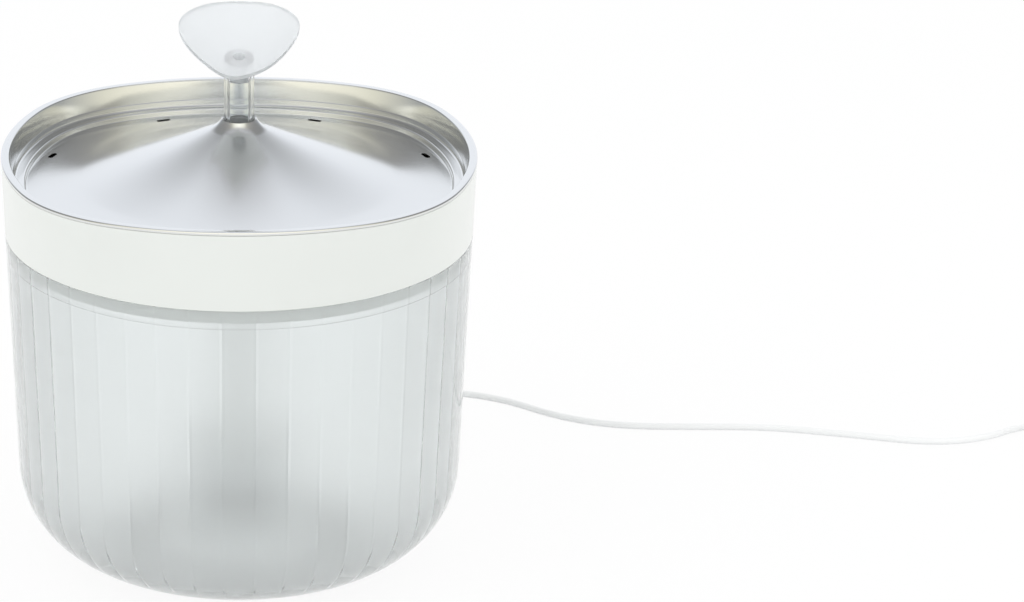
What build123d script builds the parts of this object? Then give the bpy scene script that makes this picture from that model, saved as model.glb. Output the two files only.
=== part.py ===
from build123d import *
import math
import os

# Pet water fountain: a clear fluted bowl, a white collar, a steel drinking tray with a flared
# cone, and a clear leaf spout fed by a small pump on the bowl's floor.
# Millimetres, +Z up, origin on the floor under the bowl's axis, front towards -Y.

# ---- Driving dimensions -------------------------------------------------------------------

# rim, shared by the tray, the collar and the bowl
rim_half_width = 95.0      # squared-off rim, half its width across the flats
rim_corner_gain = 0.0555   # how much further out the rim's corners reach than its flats
rim_side_bulge = 0.368     # side arcs: centre offset over half width
rim_overhang = 1.1         # the rim's flats reach this far past the round bowl

# bowl
foot_height = 0.8          # the silicone ring stands this far out of the base
foot_ring_radius = 42.0    # middle of the ring
foot_ring_width = 6.0
foot_groove_depth = 1.2
bowl_rim_height = 137.4
wall_draft = 2.2           # degrees
base_rounding = 38.0
bowl_wall = 2.4
bowl_floor = 3.0
flute_count = 44
seat_depth = 8.0           # round seat for the collar's skirt, above the flutes
seat_wall = 2.1

# collar
collar_height = 31.0
collar_wall = 2.0
collar_inset = 0.15        # collar top inside the tray's bead
shelf_thickness = 2.0      # the collar's shelf on the bowl's rim
skirt_depth = 5.6
skirt_wall = 2.0
skirt_clearance = 0.4
ledge_height = 5.6         # the deck's ledge above the bowl's rim
ledge_thickness = 1.6
ledge_reach = 3.0
notch_width = 6.4
notch_height = 5.2
lead_rise = 2.5            # middle of the lead in its notch, above the bowl's rim

# drinking tray
steel = 0.7
bead_width = 3.4
bead_height = 1.6
tray_wall_lean = 1.3       # the wall comes in by this much from the bead to its crease
tray_crease_drop = 8.1     # crease in the wall, below the bead's top
tray_crease_step = 0.35    # step of the wall at the crease
ledge_bend = 2.45          # radius of the bend from the wall into the ledge
ledge_bend_slope = 75.0    # degrees, of the sheet where that bend starts
tray_ledge_width = 1.5     # nearly flat ledge round the dish
tray_ledge_fall = 0.07
riser_lean = 0.3           # the riser below the ledge comes in by this much
riser_rounding = 0.4       # at its head and foot
tray_floor_drop = 13.1     # dish floor below the bead's top
dish_flat = 4.05           # flat dish floor between the cone's foot and the riser
cone_run_out = 60.0        # radius of the bend into the dish floor
flank_foot_slope = 17.0    # degrees, of the hollow flank above that bend
flank_top_slope = 25.0     # degrees, of the flank below the flare
flare_radius = 10.85       # radius of the bend up to the lip
flare_slope = 60.0         # degrees, of the sheet at the lip
drain_count = 8
drain_length = 6.0
drain_width = 2.2
drain_inset = 2.7          # middle of a drain slot, in from the dish floor's edge
bush_wall = 3.0            # silicone bush in the cone's hole
bush_height = 8.0
bush_below_lip = 1.2       # bush top, below the lip

# spout
stem_radius = 6.05
stem_bore = 3.9
stem_top_rise = 34.9       # stem's top face above the bead's top
stem_length = 50.9
running_gap = 0.05         # radial clearance of turning and sliding fits
tray_hole_gap = 0.35
spigot_length = 5.4
spigot_bore = 2.4
leaf_sphere = 50.0         # radius of the leaf's hollow
leaf_thickness = 1.6
leaf_tilt = 23.0           # degrees, the back edge up
leaf_centre_back = 4.0
leaf_centre_rise = 40.7    # above the bead's top
leaf_tip = 21.0            # from the leaf's centre to its tip
leaf_back = 23.2
leaf_half_width = 24.0

# riser and pump
riser_radius = 7.0
riser_bore = 4.0
riser_socket_depth = 14.0
cup_height = 5.2
cup_radius = 6.0
cup_hollow = 1.6           # depth of the hollow under a suction cup
cup_edge = 0.8
cup_shoulder = 2.6         # where the cup meets its stalk
cup_stalk = 2.4            # radius of the stalk
cup_inset = 1.0            # the rear cups stand this far in from the housing's back
pump_width = 38.0
pump_height = 34.0
pump_corner = 5.0
chamber_radius = 12.0
chamber_depth = 8.0
well_bore = 6.3
well_wall = 1.5
well_depth = 18.0
cavity_radius = 15.5
housing_back = 28.0        # rear face of the housing behind the riser's axis
back_cover = 2.4
volute_plate = 3.0
nipple_height = 12.0
nipple_radius = 3.9
outlet_bore = 2.9
shaft_radius = 1.0
bush_radius = 2.6
bush_length = 2.0
hub_radius = 2.6
disc_radius = 10.6
disc_thickness = 1.2
blade_count = 6
blade_height = 4.0
blade_thickness = 1.1
magnet_radius = 5.8
eye_radius = 6.0
spider_count = 3
spider_turn = 30.0         # degrees, first arm of the shaft's spider
pole_count = 6
cap_depth = 12.0
cap_wall = 1.6
grille_count = 7           # places for slots; the middle one is the slider's
slot_width = 2.0
slot_height = 22.0
slider_travel = 6.0
slider_slot = 3.2          # width of the slider's slot
slider_plate = 1.2
knob_width = 2.8

# filter
deck_bearing = 3.2         # the deck's flange lies this far on to the ledge
deck_depth = 7.6
deck_wall = 1.6
deck_flange = 16.6
chimney_wall = 1.8
chimney_height = 10.0
filter_side_gap = 0.9      # cartridge in the deck's well
filter_eye = 14.0
filter_height = 14.0
filter_wall = 1.5
carbon_height = 6.0
foam_height = 5.4
slot_count = 24
slot_from_riser = 14.0     # the deck's slots start this far out from the riser's hole
slot_from_side = 6.0       # and end this far in from the cartridge's side
slot_gap = 3.0             # width of the deck's slots
fit_gap = 0.3

# cord
cord_radius = 1.45
lead_gap = 0.05            # lead in the grommet's bore
lead_from_rim = 24.0       # the lead rises this far in from the bowl's rim
grommet_stand = 0.6        # grommet's flange, out from the collar's foot
grommet_flange = 1.6       # how far its flanges reach past the notch
grommet_plate = 2.0        # thickness of its inside flange
relief_length = 9.0
relief_root_radius = 3.0
relief_tip_radius = 2.1
gland_radius = 3.4         # where the lead leaves the pump
gland_length = 3.0
coil_wide_count = 3
coil_high_count = 3
coil_mean_radius = 17.2
coil_right = 378.0         # middle of the coil, to the right of the fountain's axis
coil_forward = 2.5         # and forward of the grommet's end
coil_lead = 16.0           # straight cord before it joins the coil's outer turn
tie_thickness = 0.8
tie_width = 6.0
tail_length = 32.0         # from the coil to the plug, seen from above
tail_straight = 9.0
tail_swing = 3.0           # the plug lies this far to the right of the tail's start
plug_length = 27.0
plug_width = 15.6
plug_height = 8.2
plug_relief = 8.0
shell_length = 12.0        # of the plug's steel shell outside the moulding
shell_width = 12.0
shell_height = 4.5
shell_wall = 0.3

# ---- Heights and fits worked out from them -------------------------------------------------

base_z = foot_height
floor_z = base_z + bowl_floor
bead_bottom = bowl_rim_height + collar_height
bead_top = bead_bottom + bead_height
draft_rate = math.tan(math.radians(wall_draft))
dish_z = bead_top - tray_floor_drop
ledge_z = bowl_rim_height + ledge_height
ledge_top = ledge_z + ledge_thickness
bowl_rim_radius = rim_half_width - rim_overhang
skirt_radius = bowl_rim_radius - seat_wall - skirt_clearance
skirt_inside = skirt_radius - skirt_wall
ledge_inside = skirt_inside - ledge_reach
deck_flange_radius = ledge_inside + deck_bearing
deck_well_radius = deck_flange_radius - deck_flange
filter_radius = deck_well_radius - deck_wall - filter_side_gap
riser_width = 2 * riser_rounding + riser_lean
ledge_end = rim_half_width - bead_width - tray_wall_lean - tray_crease_step - ledge_bend
dish_half_width = ledge_end - tray_ledge_width - riser_width
cone_foot_radius = dish_half_width - dish_flat
stem_top = bead_top + stem_top_rise
stem_bottom = stem_top - stem_length
riser_top = stem_bottom + riser_socket_depth
pump_z = floor_z + cup_height
pump_top = pump_z + pump_height
axis_z = pump_z + pump_height / 2
front_face = -chamber_depth / 2
well_start = chamber_depth / 2
well_end = well_start + well_depth
lead_start_y = housing_back + back_cover + gland_length
lead_start_z = axis_z + 9.0
cord_exit_z = bowl_rim_height + lead_rise
grommet_outside = bowl_rim_radius + grommet_stand
grommet_back = grommet_outside + relief_length
cord_diameter = 2 * cord_radius

# ---- Small helpers ---------------------------------------------------------------------------


def disc(radius, low, high):
    """Upright cylinder between two heights."""
    return Pos(0, 0, low) * extrude(Circle(radius), high - low)


def ring(outer, inner, low, high):
    return disc(outer, low, high) - disc(inner, low, high)


def block(x0, x1, y0, y1, z0, z1):
    return Pos((x0 + x1) / 2, (y0 + y1) / 2, (z0 + z1) / 2) * Box(x1 - x0, y1 - y0, z1 - z0)


def lay(shape):
    """Turns an upright shape on to the pump's axis, which runs front to back."""
    return Pos(0, 0, axis_z) * Rot(-90, 0, 0) * shape


def around(shape, count, start=0.0):
    """Copies of a shape turned about the fountain's axis."""
    return [Rot(0, 0, start + 360 * i / count) * shape for i in range(count)]


def save(name, shape):
    export_step(shape, f"parts/{name}.step")


# ---- Squared-off plan outline ----------------------------------------------------------------

corner_centre = (rim_corner_gain * (2 * rim_side_bulge - rim_corner_gain)
                 / ((2 - math.sqrt(2)) * rim_side_bulge - 2 * rim_corner_gain))


def joint_angle():
    """Angle from the middle of a side to where its arc meets the corner's arc."""
    across = corner_centre / math.sqrt(2)
    along = across + rim_side_bulge
    reach = (1 + rim_side_bulge) / math.hypot(across, along)
    return math.atan2(across * reach, along * reach - rim_side_bulge), math.hypot(
        across * reach, along * reach - rim_side_bulge)


side_angle, joint_reach = joint_angle()


def plan(half, squared=True):
    """Face of eight tangent arcs: the squared rim, or the same eight arcs on one circle."""
    reach = joint_reach if squared else 1.0
    corner = 1 + rim_corner_gain if squared else 1.0

    def point(angle, distance):
        return (half * distance * math.sin(angle), half * distance * math.cos(angle))

    arcs = []
    for quarter in range(4):
        middle = quarter * math.pi / 2
        diagonal = middle + math.pi / 4
        following = middle + math.pi / 2 - side_angle
        arcs.append(ThreePointArc(point(middle - side_angle, reach), point(middle, 1.0),
                                  point(middle + side_angle, reach)))
        arcs.append(ThreePointArc(point(middle + side_angle, reach), point(diagonal, corner),
                                  point(following, reach)))
    return make_face(Wire(arcs))


def stack(levels):
    """Solid through squared outlines, each given as (half width, height)."""
    return loft([Pos(0, 0, height) * plan(half) for half, height in levels], ruled=True)


# ---- Bowl ------------------------------------------------------------------------------------


def bowl_profile(inset, floor):
    """Half section between the axis and a wall set in by inset, down to the given floor."""
    round_radius = base_rounding - inset
    arc_height = base_z + base_rounding
    wall_at_arc = bowl_rim_radius - inset - (bowl_rim_height - arc_height) * draft_rate
    centre = wall_at_arc - round_radius / math.cos(math.radians(wall_draft))
    bottom = arc_height - round_radius
    arc_start = (centre, bottom)
    arc_end = (centre + round_radius * math.cos(math.radians(wall_draft)),
               arc_height - round_radius * math.sin(math.radians(wall_draft)))
    arc_middle = (centre + round_radius * math.cos(math.radians(45)),
                  arc_height - round_radius * math.sin(math.radians(45)))
    top = (bowl_rim_radius - inset, bowl_rim_height)
    edges = [Line((0, bottom), arc_start), ThreePointArc(arc_start, arc_middle, arc_end),
             Line(arc_end, top), Line(top, (0, bowl_rim_height)),
             Line((0, bowl_rim_height), (0, bottom))]
    face = make_face(Wire(edges))
    if floor > bottom:
        face = face - Pos(0, (bottom + floor) / 2) * Rectangle(4 * bowl_rim_radius, floor - bottom)
    return Rot(90, 0, 0) * face


def fluted_cavity():
    """Inside of the bowl, with one flat flute for each gore between two half planes."""
    half_angle = 180 / flute_count
    widest = 1.2 * bowl_rim_radius * math.tan(math.radians(half_angle))
    slab = extrude(bowl_profile(bowl_wall, floor_z), widest, both=True)
    reach = 2 * bowl_rim_radius
    spread = reach * math.tan(math.radians(half_angle))
    wedge_face = make_face(Polyline((0, 0), (reach, -spread), (reach, spread), close=True))
    gore = slab & extrude(wedge_face, 2 * bowl_rim_height)
    return around(gore, flute_count, -90)


def make_bowl():
    body = revolve(bowl_profile(0, base_z), Axis.Z)
    groove = ring(foot_ring_radius + foot_ring_width / 2, foot_ring_radius - foot_ring_width / 2,
                  base_z - 1, base_z + foot_groove_depth)
    seat_radius = bowl_rim_radius - seat_wall
    seat = disc(seat_radius, bowl_rim_height - seat_depth, bowl_rim_height + 1)
    body = body.cut(*fluted_cavity())
    return body - seat - groove


def make_foot_ring():
    body = ring(foot_ring_radius + foot_ring_width / 2, foot_ring_radius - foot_ring_width / 2,
                0, base_z + foot_groove_depth)
    return fillet(body.edges().filter_by(GeomType.CIRCLE).group_by(Axis.Z)[0], foot_height * 0.6)


# ---- Collar and filter deck ------------------------------------------------------------------


def make_collar():
    round_foot = Pos(0, 0, bowl_rim_height) * plan(bowl_rim_radius, squared=False)
    square_top = Pos(0, 0, bead_bottom) * plan(rim_half_width - collar_inset)
    outside = loft([round_foot, square_top], ruled=True)
    round_inside = Pos(0, 0, bowl_rim_height) * plan(bowl_rim_radius - collar_wall, squared=False)
    square_inside = Pos(0, 0, bead_bottom) * plan(rim_half_width - collar_inset - collar_wall)
    room = loft([round_inside, square_inside], ruled=True)
    upper_room = room - disc(rim_half_width, bowl_rim_height - 1, ledge_top)
    skirt_low = bowl_rim_height - skirt_depth
    body = outside + disc(skirt_radius, skirt_low, bowl_rim_height + shelf_thickness)
    body -= upper_room
    body -= disc(ledge_inside, skirt_low - 1, ledge_top + 1)
    body -= disc(skirt_inside, skirt_low - 1, ledge_z)
    half = notch_width / 2
    notch_top = bowl_rim_height + notch_height
    notch_start = ledge_inside - 1
    notch_end = rim_half_width + 1
    notch = block(-half, half, notch_start, notch_end, skirt_low - 1, notch_top - half)
    arch = (Pos(0, notch_end, notch_top - half) * Rot(90, 0, 0)
            * extrude(Circle(half), notch_end - notch_start))
    return body - notch - arch


def radial_slots(inner, outer, width, low, high):
    slot = block(inner, outer, -width / 2, width / 2, low, high)
    return around(slot, slot_count)


def make_filter_deck():
    deck_bottom = ledge_top + deck_wall - deck_depth
    deck_floor = deck_bottom + deck_wall
    hole = riser_radius + 2 * fit_gap
    body = disc(deck_flange_radius, ledge_top, ledge_top + deck_wall)
    body += disc(deck_well_radius, deck_bottom, ledge_top + deck_wall)
    body -= disc(deck_well_radius - deck_wall, deck_floor, ledge_top + deck_wall + 1)
    body += disc(hole + chimney_wall, deck_bottom, deck_floor + chimney_height)
    body -= disc(hole, deck_bottom - 1, deck_floor + chimney_height + 1)
    slots = radial_slots(hole + slot_from_riser, filter_radius - slot_from_side, slot_gap,
                         deck_bottom - 1, deck_floor + 1)
    return body.cut(*slots)


def make_filter():
    """Frame, carbon, foam and lid of the annular cartridge, seated on the deck's floor."""
    low = ledge_top + 2 * deck_wall - deck_depth
    high = low + filter_height
    inner = filter_eye + filter_wall
    outer = filter_radius - filter_wall
    frame = ring(filter_radius, filter_eye, low, high)
    frame -= ring(outer, inner, low + filter_wall, high + 1)
    slots = radial_slots(inner + 7, outer - 5, 2.4, low - 1, low + filter_wall + 1)
    frame = frame.cut(*slots)
    carbon_top = low + filter_wall + carbon_height
    foam_top = carbon_top + foam_height
    carbon = ring(outer, inner, low + filter_wall, carbon_top)
    foam = ring(outer, inner, carbon_top, foam_top)
    lid = ring(outer, inner, foam_top, high)
    lid = lid.cut(*radial_slots(inner + 7, outer - 5, 4.0, foam_top - 1, high + 1))
    return frame, carbon, foam, lid


# ---- Drinking tray ---------------------------------------------------------------------------


def on_bend(centre, radius, angle):
    """Point of a bend whose centre lies above the sheet, where the sheet has this slope."""
    return (centre[0] - radius * math.sin(angle), centre[1] - radius * math.cos(angle))


def cone_sheet():
    """Half section of the flared cone, three tangent bends, and the height of its lip."""
    foot = math.radians(flank_foot_slope)
    top = math.radians(flank_top_slope)
    steep = math.radians(flare_slope)
    lip_radius = stem_radius + tray_hole_gap + steel * math.sin(steep)
    run_out = (cone_foot_radius, dish_z + cone_run_out)
    flank_foot = on_bend(run_out, cone_run_out, foot)
    flank_top_radius = lip_radius + flare_radius * (math.sin(steep) - math.sin(top))
    flank_radius = (flank_foot[0] - flank_top_radius) / (math.sin(top) - math.sin(foot))
    flank = (flank_foot[0] + flank_radius * math.sin(foot),
             flank_foot[1] + flank_radius * math.cos(foot))
    flank_top = on_bend(flank, flank_radius, top)
    flare = (flank_top[0] + flare_radius * math.sin(top),
             flank_top[1] + flare_radius * math.cos(top))
    lip_z = on_bend(flare, flare_radius, steep)[1]
    bends = ((run_out, cone_run_out, 0.0, foot), (flank, flank_radius, foot, top),
             (flare, flare_radius, top, steep))
    faces = []
    for extra in (0.0, steel):
        faces.append([ThreePointArc(*[on_bend(centre, radius + extra, low + (high - low) * share)
                                      for share in (0, 0.5, 1)])
                      for centre, radius, low, high in bends])
    upper, under = faces
    ends = [Line(upper[0] @ 0, under[0] @ 0), Line(upper[-1] @ 1, under[-1] @ 1)]
    return Rot(90, 0, 0) * make_face(Wire(upper + under + ends)), lip_z


def tray_wall_section():
    """Inside of the wall as (half width, height), from the bead down to the dish floor."""
    top_half = rim_half_width - bead_width
    crease = (top_half - tray_wall_lean, bead_top - tray_crease_drop)
    step = (crease[0] - tray_crease_step, crease[1] - tray_crease_step)
    bend = (step[0] - ledge_bend, step[1])
    points = [(top_half, bead_top), crease, step]
    for share in (1, 2 / 3, 1 / 3, 0):
        slope = math.radians(ledge_bend_slope) * share
        points.append((bend[0] + ledge_bend * math.sin(slope),
                       bend[1] - ledge_bend * math.cos(slope)))
    edge = (bend[0] - tray_ledge_width, points[-1][1] - tray_ledge_fall)
    head = (edge[0] - riser_rounding, edge[1] - riser_rounding)
    foot = (head[0] - riser_lean, dish_z + riser_rounding)
    return points + [edge, head, foot, (foot[0] - riser_rounding, dish_z)]


def make_tray():
    inside = tray_wall_section()[::-1]
    floor_half = inside[0][0]
    outside = [(half + steel, height - steel) for half, height in inside[:-1]]
    outside.append((inside[-1][0] + steel, bead_top))
    body = stack(outside)
    hem = Pos(0, 0, bead_bottom) * extrude(plan(rim_half_width), bead_height)
    outer_edges = hem.edges().group_by(Axis.Z)
    hem = fillet(outer_edges[0] + outer_edges[-1], 0.45 * bead_height)
    body += hem
    body -= stack(inside)
    body -= disc(cone_foot_radius, dish_z - steel - 1, dish_z + 1)
    drain_radius = floor_half - drain_inset
    section, lip_z = cone_sheet()
    body += revolve(section, Axis.Z)
    slot = block(drain_radius - drain_width / 2, drain_radius + drain_width / 2,
                 (drain_width - drain_length) / 2, (drain_length - drain_width) / 2,
                 dish_z - steel - 1, dish_z + 2)
    for end in (-1, 1):
        slot += Pos(drain_radius, end * (drain_length - drain_width) / 2,
                    dish_z - steel - 1) * extrude(Circle(drain_width / 2), steel + 3)
    return body.cut(*around(slot, drain_count, 180 / drain_count)), lip_z


def make_tray_bush(tray, lip_z):
    """Silicone bush that lines the cone's hole from below and holds the stem upright."""
    high = lip_z - bush_below_lip
    body = ring(stem_radius + bush_wall, stem_radius + 2 * running_gap, high - bush_height, high)
    body -= tray
    return body.solids().sort_by(Axis.Z)[0]


# ---- Spout -----------------------------------------------------------------------------------


def make_stem():
    return ring(stem_radius, stem_bore, stem_bottom, stem_top)


def make_leaf():
    outline = Spline((0, -leaf_tip), (0.48 * leaf_half_width, -0.62 * leaf_tip),
                     (0.83 * leaf_half_width, -0.12 * leaf_tip),
                     (leaf_half_width, 0.32 * leaf_back),
                     (0.72 * leaf_half_width, 0.78 * leaf_back), (0, leaf_back),
                     (-0.72 * leaf_half_width, 0.78 * leaf_back),
                     (-leaf_half_width, 0.32 * leaf_back),
                     (-0.83 * leaf_half_width, -0.12 * leaf_tip),
                     (-0.48 * leaf_half_width, -0.62 * leaf_tip), periodic=True)
    reach = leaf_sphere / 2
    cutter = Pos(0, 0, -reach / 2) * extrude(make_face(outline), reach)
    centre = Pos(0, 0, leaf_sphere)
    place = Pos(0, leaf_centre_back, bead_top + leaf_centre_rise) * Rot(leaf_tilt, 0, 0)
    hollow = place * centre * Sphere(leaf_sphere)
    shell = place * ((centre * Sphere(leaf_sphere + leaf_thickness)) & cutter)
    neck = disc(stem_radius, stem_top, stem_top + 2 * leaf_thickness + 4)
    spigot = disc(stem_bore - running_gap, stem_top - spigot_length, stem_top + 1)
    body = shell + neck + spigot - hollow
    return body - disc(spigot_bore, stem_top - spigot_length - 1, stem_top + leaf_sphere)


# ---- Pump ------------------------------------------------------------------------------------


def pump_slab(front, back, inset=0.0):
    """Rounded upright slab of the pump's outline, between two places along its axis."""
    outline = RectangleRounded(pump_width - 2 * inset, pump_height - 2 * inset,
                               pump_corner - inset)
    return lay(Pos(0, 0, front) * extrude(outline, back - front))


def make_pump_body():
    body = pump_slab(front_face, housing_back)
    body -= lay(disc(chamber_radius, front_face - 1, well_start))
    body -= lay(disc(well_bore, well_start - 1, well_end))
    body -= lay(disc(bush_radius, well_end - 1, well_end + bush_length))
    tube_end = well_end + bush_length + well_wall
    cavity = disc(cavity_radius, well_start + 3.0, housing_back + 1)
    cavity -= disc(well_bore + well_wall, well_start, tube_end)
    body -= lay(cavity)
    body -= lay(ring(chamber_radius + 2.4, chamber_radius + 1.2, front_face - 1, front_face + 0.8))
    body += disc(nipple_radius, pump_top - 1, pump_top + nipple_height)
    return body - disc(outlet_bore, axis_z + chamber_radius / 2, pump_top + nipple_height + 1)


def make_volute_cover():
    back = front_face
    front = back - volute_plate
    body = pump_slab(front, back)
    body += pump_slab(front - 1.5, front, cap_wall + running_gap)
    lip = front - 1.5
    body -= lay(disc(eye_radius, lip - 1, back + 1))
    spider = disc(bush_radius + 1.0, front, back)
    for arm in around(block(0, eye_radius + 0.5, -0.8, 0.8, front, back), spider_count,
                      spider_turn):
        spider += arm
    body += lay(spider)
    return body - lay(disc(bush_radius, back - bush_length, back + 1))


def make_shaft_bushes():
    front = ring(bush_radius, shaft_radius, front_face - bush_length, front_face)
    rear = ring(bush_radius, shaft_radius, well_end, well_end + bush_length)
    return Compound([lay(front), lay(rear)])


def make_impeller():
    """Hub, back disc and swept blades; the hub's sleeve runs the length of the magnet."""
    bore = shaft_radius + running_gap
    nose = front_face + 0.6
    back = nose + blade_height
    sleeve_end = well_end - fit_gap
    body = disc(disc_radius, back, back + disc_thickness)
    sweep = 14.0
    outer_arc = Circle(sweep) - Circle(sweep - blade_thickness)
    for i in range(blade_count):
        arc = Pos(0, sweep - blade_thickness / 2) * outer_arc
        blade = Rot(0, 0, 360 * i / blade_count) * extrude(arc & Pos(6, 5) * Rectangle(9, 12),
                                                           blade_height)
        body += Pos(0, 0, nose) * blade & disc(disc_radius, nose, back)
    body += disc(hub_radius, nose, sleeve_end)
    return lay(body - disc(bore, nose - 1, sleeve_end + 1))


def make_magnet():
    start = front_face + 0.6 + blade_height + disc_thickness
    return lay(ring(magnet_radius, hub_radius, start, well_end - fit_gap))


def make_stator():
    """Ring core with inward poles, and one coil round each pole."""
    low = well_start + 5.0
    high = low + 10.0
    inner = well_bore + well_wall + fit_gap
    core = ring(cavity_radius - 0.1, 12.6, low, high)
    pole = block(inner, 13.0, -1.6, 1.6, low, high) & disc(13.0, low, high)
    pole -= disc(inner, low - 1, high + 1)
    coil = block(9.6, 12.2, -3.0, 3.0, low - 1.2, high + 1.2)
    coil -= block(9.0, 13.0, -1.6, 1.6, low, high)
    for tooth in around(pole, pole_count):
        core += tooth
    coils = [lay(turn) for turn in around(coil, pole_count)]
    return lay(core), Compound(coils)


def make_driver_board():
    low = housing_back - 5.0
    tube = well_bore + well_wall + fit_gap
    board = ring(cavity_radius - 0.1, tube, low, low + 1.4)
    chip = Pos(0, 0, low + 1.4) * block(9.5, 14.0, -3.0, 3.0, 0, 1.2)
    return lay(board + chip)


def make_back_cover():
    body = pump_slab(housing_back, housing_back + back_cover)
    body += lay(ring(cavity_radius - running_gap, cavity_radius - 1.6, housing_back - 2.0,
                     housing_back))
    gland = (Pos(0, housing_back + back_cover, lead_start_z) * Rot(-90, 0, 0)
             * extrude(Circle(gland_radius), gland_length))
    return body + gland


def make_suction_cups():
    side = pump_width / 2 - cup_radius
    rear = housing_back - cup_inset - cup_radius
    spots = [(x, y) for x in (-side, side) for y in (0.0, rear)]
    outline = Polyline((0, cup_hollow), (cup_radius, 0), (cup_radius, cup_edge),
                       (cup_stalk, cup_shoulder), (cup_stalk, cup_height), (0, cup_height),
                       close=True)
    cup = revolve(Rot(90, 0, 0) * make_face(outline), Axis.Z)
    return Compound([Pos(x, y, floor_z) * cup for x, y in spots])


def make_intake_cap():
    back = front_face - volute_plate
    front = back - cap_depth
    body = pump_slab(front, back)
    body -= pump_slab(front + cap_wall, back + 1, cap_wall)
    pitch = 2 * slot_width
    middle = (grille_count - 1) // 2
    for i in range(grille_count):
        if i == middle:
            continue
        x = (i - middle) * pitch
        body -= block(x - slot_width / 2, x + slot_width / 2, front - 1, front + cap_wall + 1,
                      axis_z - slot_height / 2, axis_z + slot_height / 2)
    half = slider_slot / 2
    guide_low = axis_z - slider_travel - half
    guide_high = axis_z + 2.0 + half
    return body - block(-half, half, front - 1, front + cap_wall + 1, guide_low, guide_high)


def make_flow_slider():
    """Shutter behind the grille, with its knob out through the middle slot."""
    front = front_face - volute_plate - cap_depth
    plate_front = front + cap_wall + running_gap
    knob_z = axis_z - slider_travel + 1.0
    plate_half = (grille_count - 0.7) * slot_width
    plate = block(-plate_half, plate_half, plate_front, plate_front + slider_plate,
                  knob_z - 8.0, knob_z + 2.0)
    half = knob_width / 2
    knob = block(-half, half, front - 1.6, plate_front + 0.1, knob_z - half, knob_z + half)
    return plate + knob


def make_intake_foam():
    back = front_face - volute_plate - 1.5 - fit_gap
    front = (front_face - volute_plate - cap_depth + cap_wall + running_gap + slider_plate
             + fit_gap)
    return pump_slab(front, back, cap_wall + 0.2)


def make_riser():
    body = ring(riser_radius, riser_bore, pump_top, riser_top)
    return body - disc(stem_radius + running_gap, stem_bottom, riser_top + 1)


# ---- Lead, cord, coil and plug ---------------------------------------------------------------

coil_x = coil_right
coil_y = grommet_back - coil_forward
coil_wide = coil_wide_count * cord_diameter
coil_high = coil_high_count * cord_diameter
coil_sink = 0.1            # the leads' sides lie this far inside the coil's faces
outer_turn = coil_mean_radius + coil_wide / 2 - cord_radius - coil_sink
coil_start_x = coil_x - coil_lead
coil_start_y = coil_y + outer_turn
coil_start_z = tie_thickness + cord_radius + coil_sink
tail_x = coil_x + outer_turn
tail_start_y = coil_y - coil_lead
tail_start_z = tie_thickness + cord_radius + cord_diameter
plug_start_y = tail_start_y - tail_length


def tube_along(name, points, radius):
    """Round tube on straight runs joined by tangent arcs; prints the arcs' radii."""
    path_points = [Vector(*p) for p in points]
    radii = []
    for before, corner, after in zip(path_points, path_points[1:], path_points[2:]):
        turn = math.radians((corner - before).get_angle(after - corner))
        shorter = min((corner - before).length, (after - corner).length)
        radii.append(0.45 * shorter / math.tan(turn / 2))
    path = FilletPolyline(*path_points, radius=radii)
    start = Plane(origin=path @ 0, z_dir=path % 0)
    tube = sweep(start * Circle(radius), path)
    share = tube.volume / (math.pi * radius ** 2 * path.length)
    print(name, "length", round(path.length, 1), "tightest", round(min(radii), 1),
          "radii", [round(r, 1) for r in radii], "volume share", round(share, 4))
    return tube


lead_wall_y = bowl_rim_radius - lead_from_rim
lead_route = [
    (0, lead_start_y, lead_start_z),
    (0, lead_start_y + 12, lead_start_z),
    (3, lead_wall_y - 13, 0.35 * cord_exit_z),
    (5, lead_wall_y - 3, 0.53 * cord_exit_z),
    (3, lead_wall_y, 0.73 * cord_exit_z),
    (0, lead_wall_y, 0.91 * cord_exit_z),
    (0, lead_wall_y + 9, cord_exit_z),
    (0, bowl_rim_radius, cord_exit_z),
]

cord_steps = [             # to the right, behind the grommet's end, height
    (0, 12, cord_exit_z),
    (1, 19.5, 0.915 * cord_exit_z),
    (4, 25.5, 0.745 * cord_exit_z),
    (8, 28.5, 0.48 * cord_exit_z),
    (14, 33.5, 0.236 * cord_exit_z),
    (24, 41.5, 0.079 * cord_exit_z),
    (41, 48.5, cord_radius),
    (65, 54, cord_radius),
    (94, 53.5, cord_radius),
    (118, 44.5, cord_radius),
    (140, 24.5, cord_radius),
    (166, 13.8, cord_radius),
    (200, 12.9, cord_radius),
    (232, 12.7, cord_radius),
    (268, 4, cord_radius),
    (300, -4.9, cord_radius),
    (325, -0.3, cord_radius),
    (344, 13.9, cord_radius + 0.3),
]
cord_route = [(0, bowl_rim_radius, cord_exit_z)]
cord_route += [(x, grommet_back + back, z) for x, back, z in cord_steps]
cord_route += [(coil_start_x - 6.5, coil_start_y, coil_start_z),
               (coil_start_x, coil_start_y, coil_start_z)]

tail_route = [
    (tail_x, tail_start_y, tail_start_z),
    (tail_x, tail_start_y - tail_straight, tail_start_z),
    (tail_x + tail_swing, tail_start_y - 0.69 * tail_length, plug_height / 2),
    (tail_x + tail_swing, plug_start_y, plug_height / 2),
]


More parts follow.
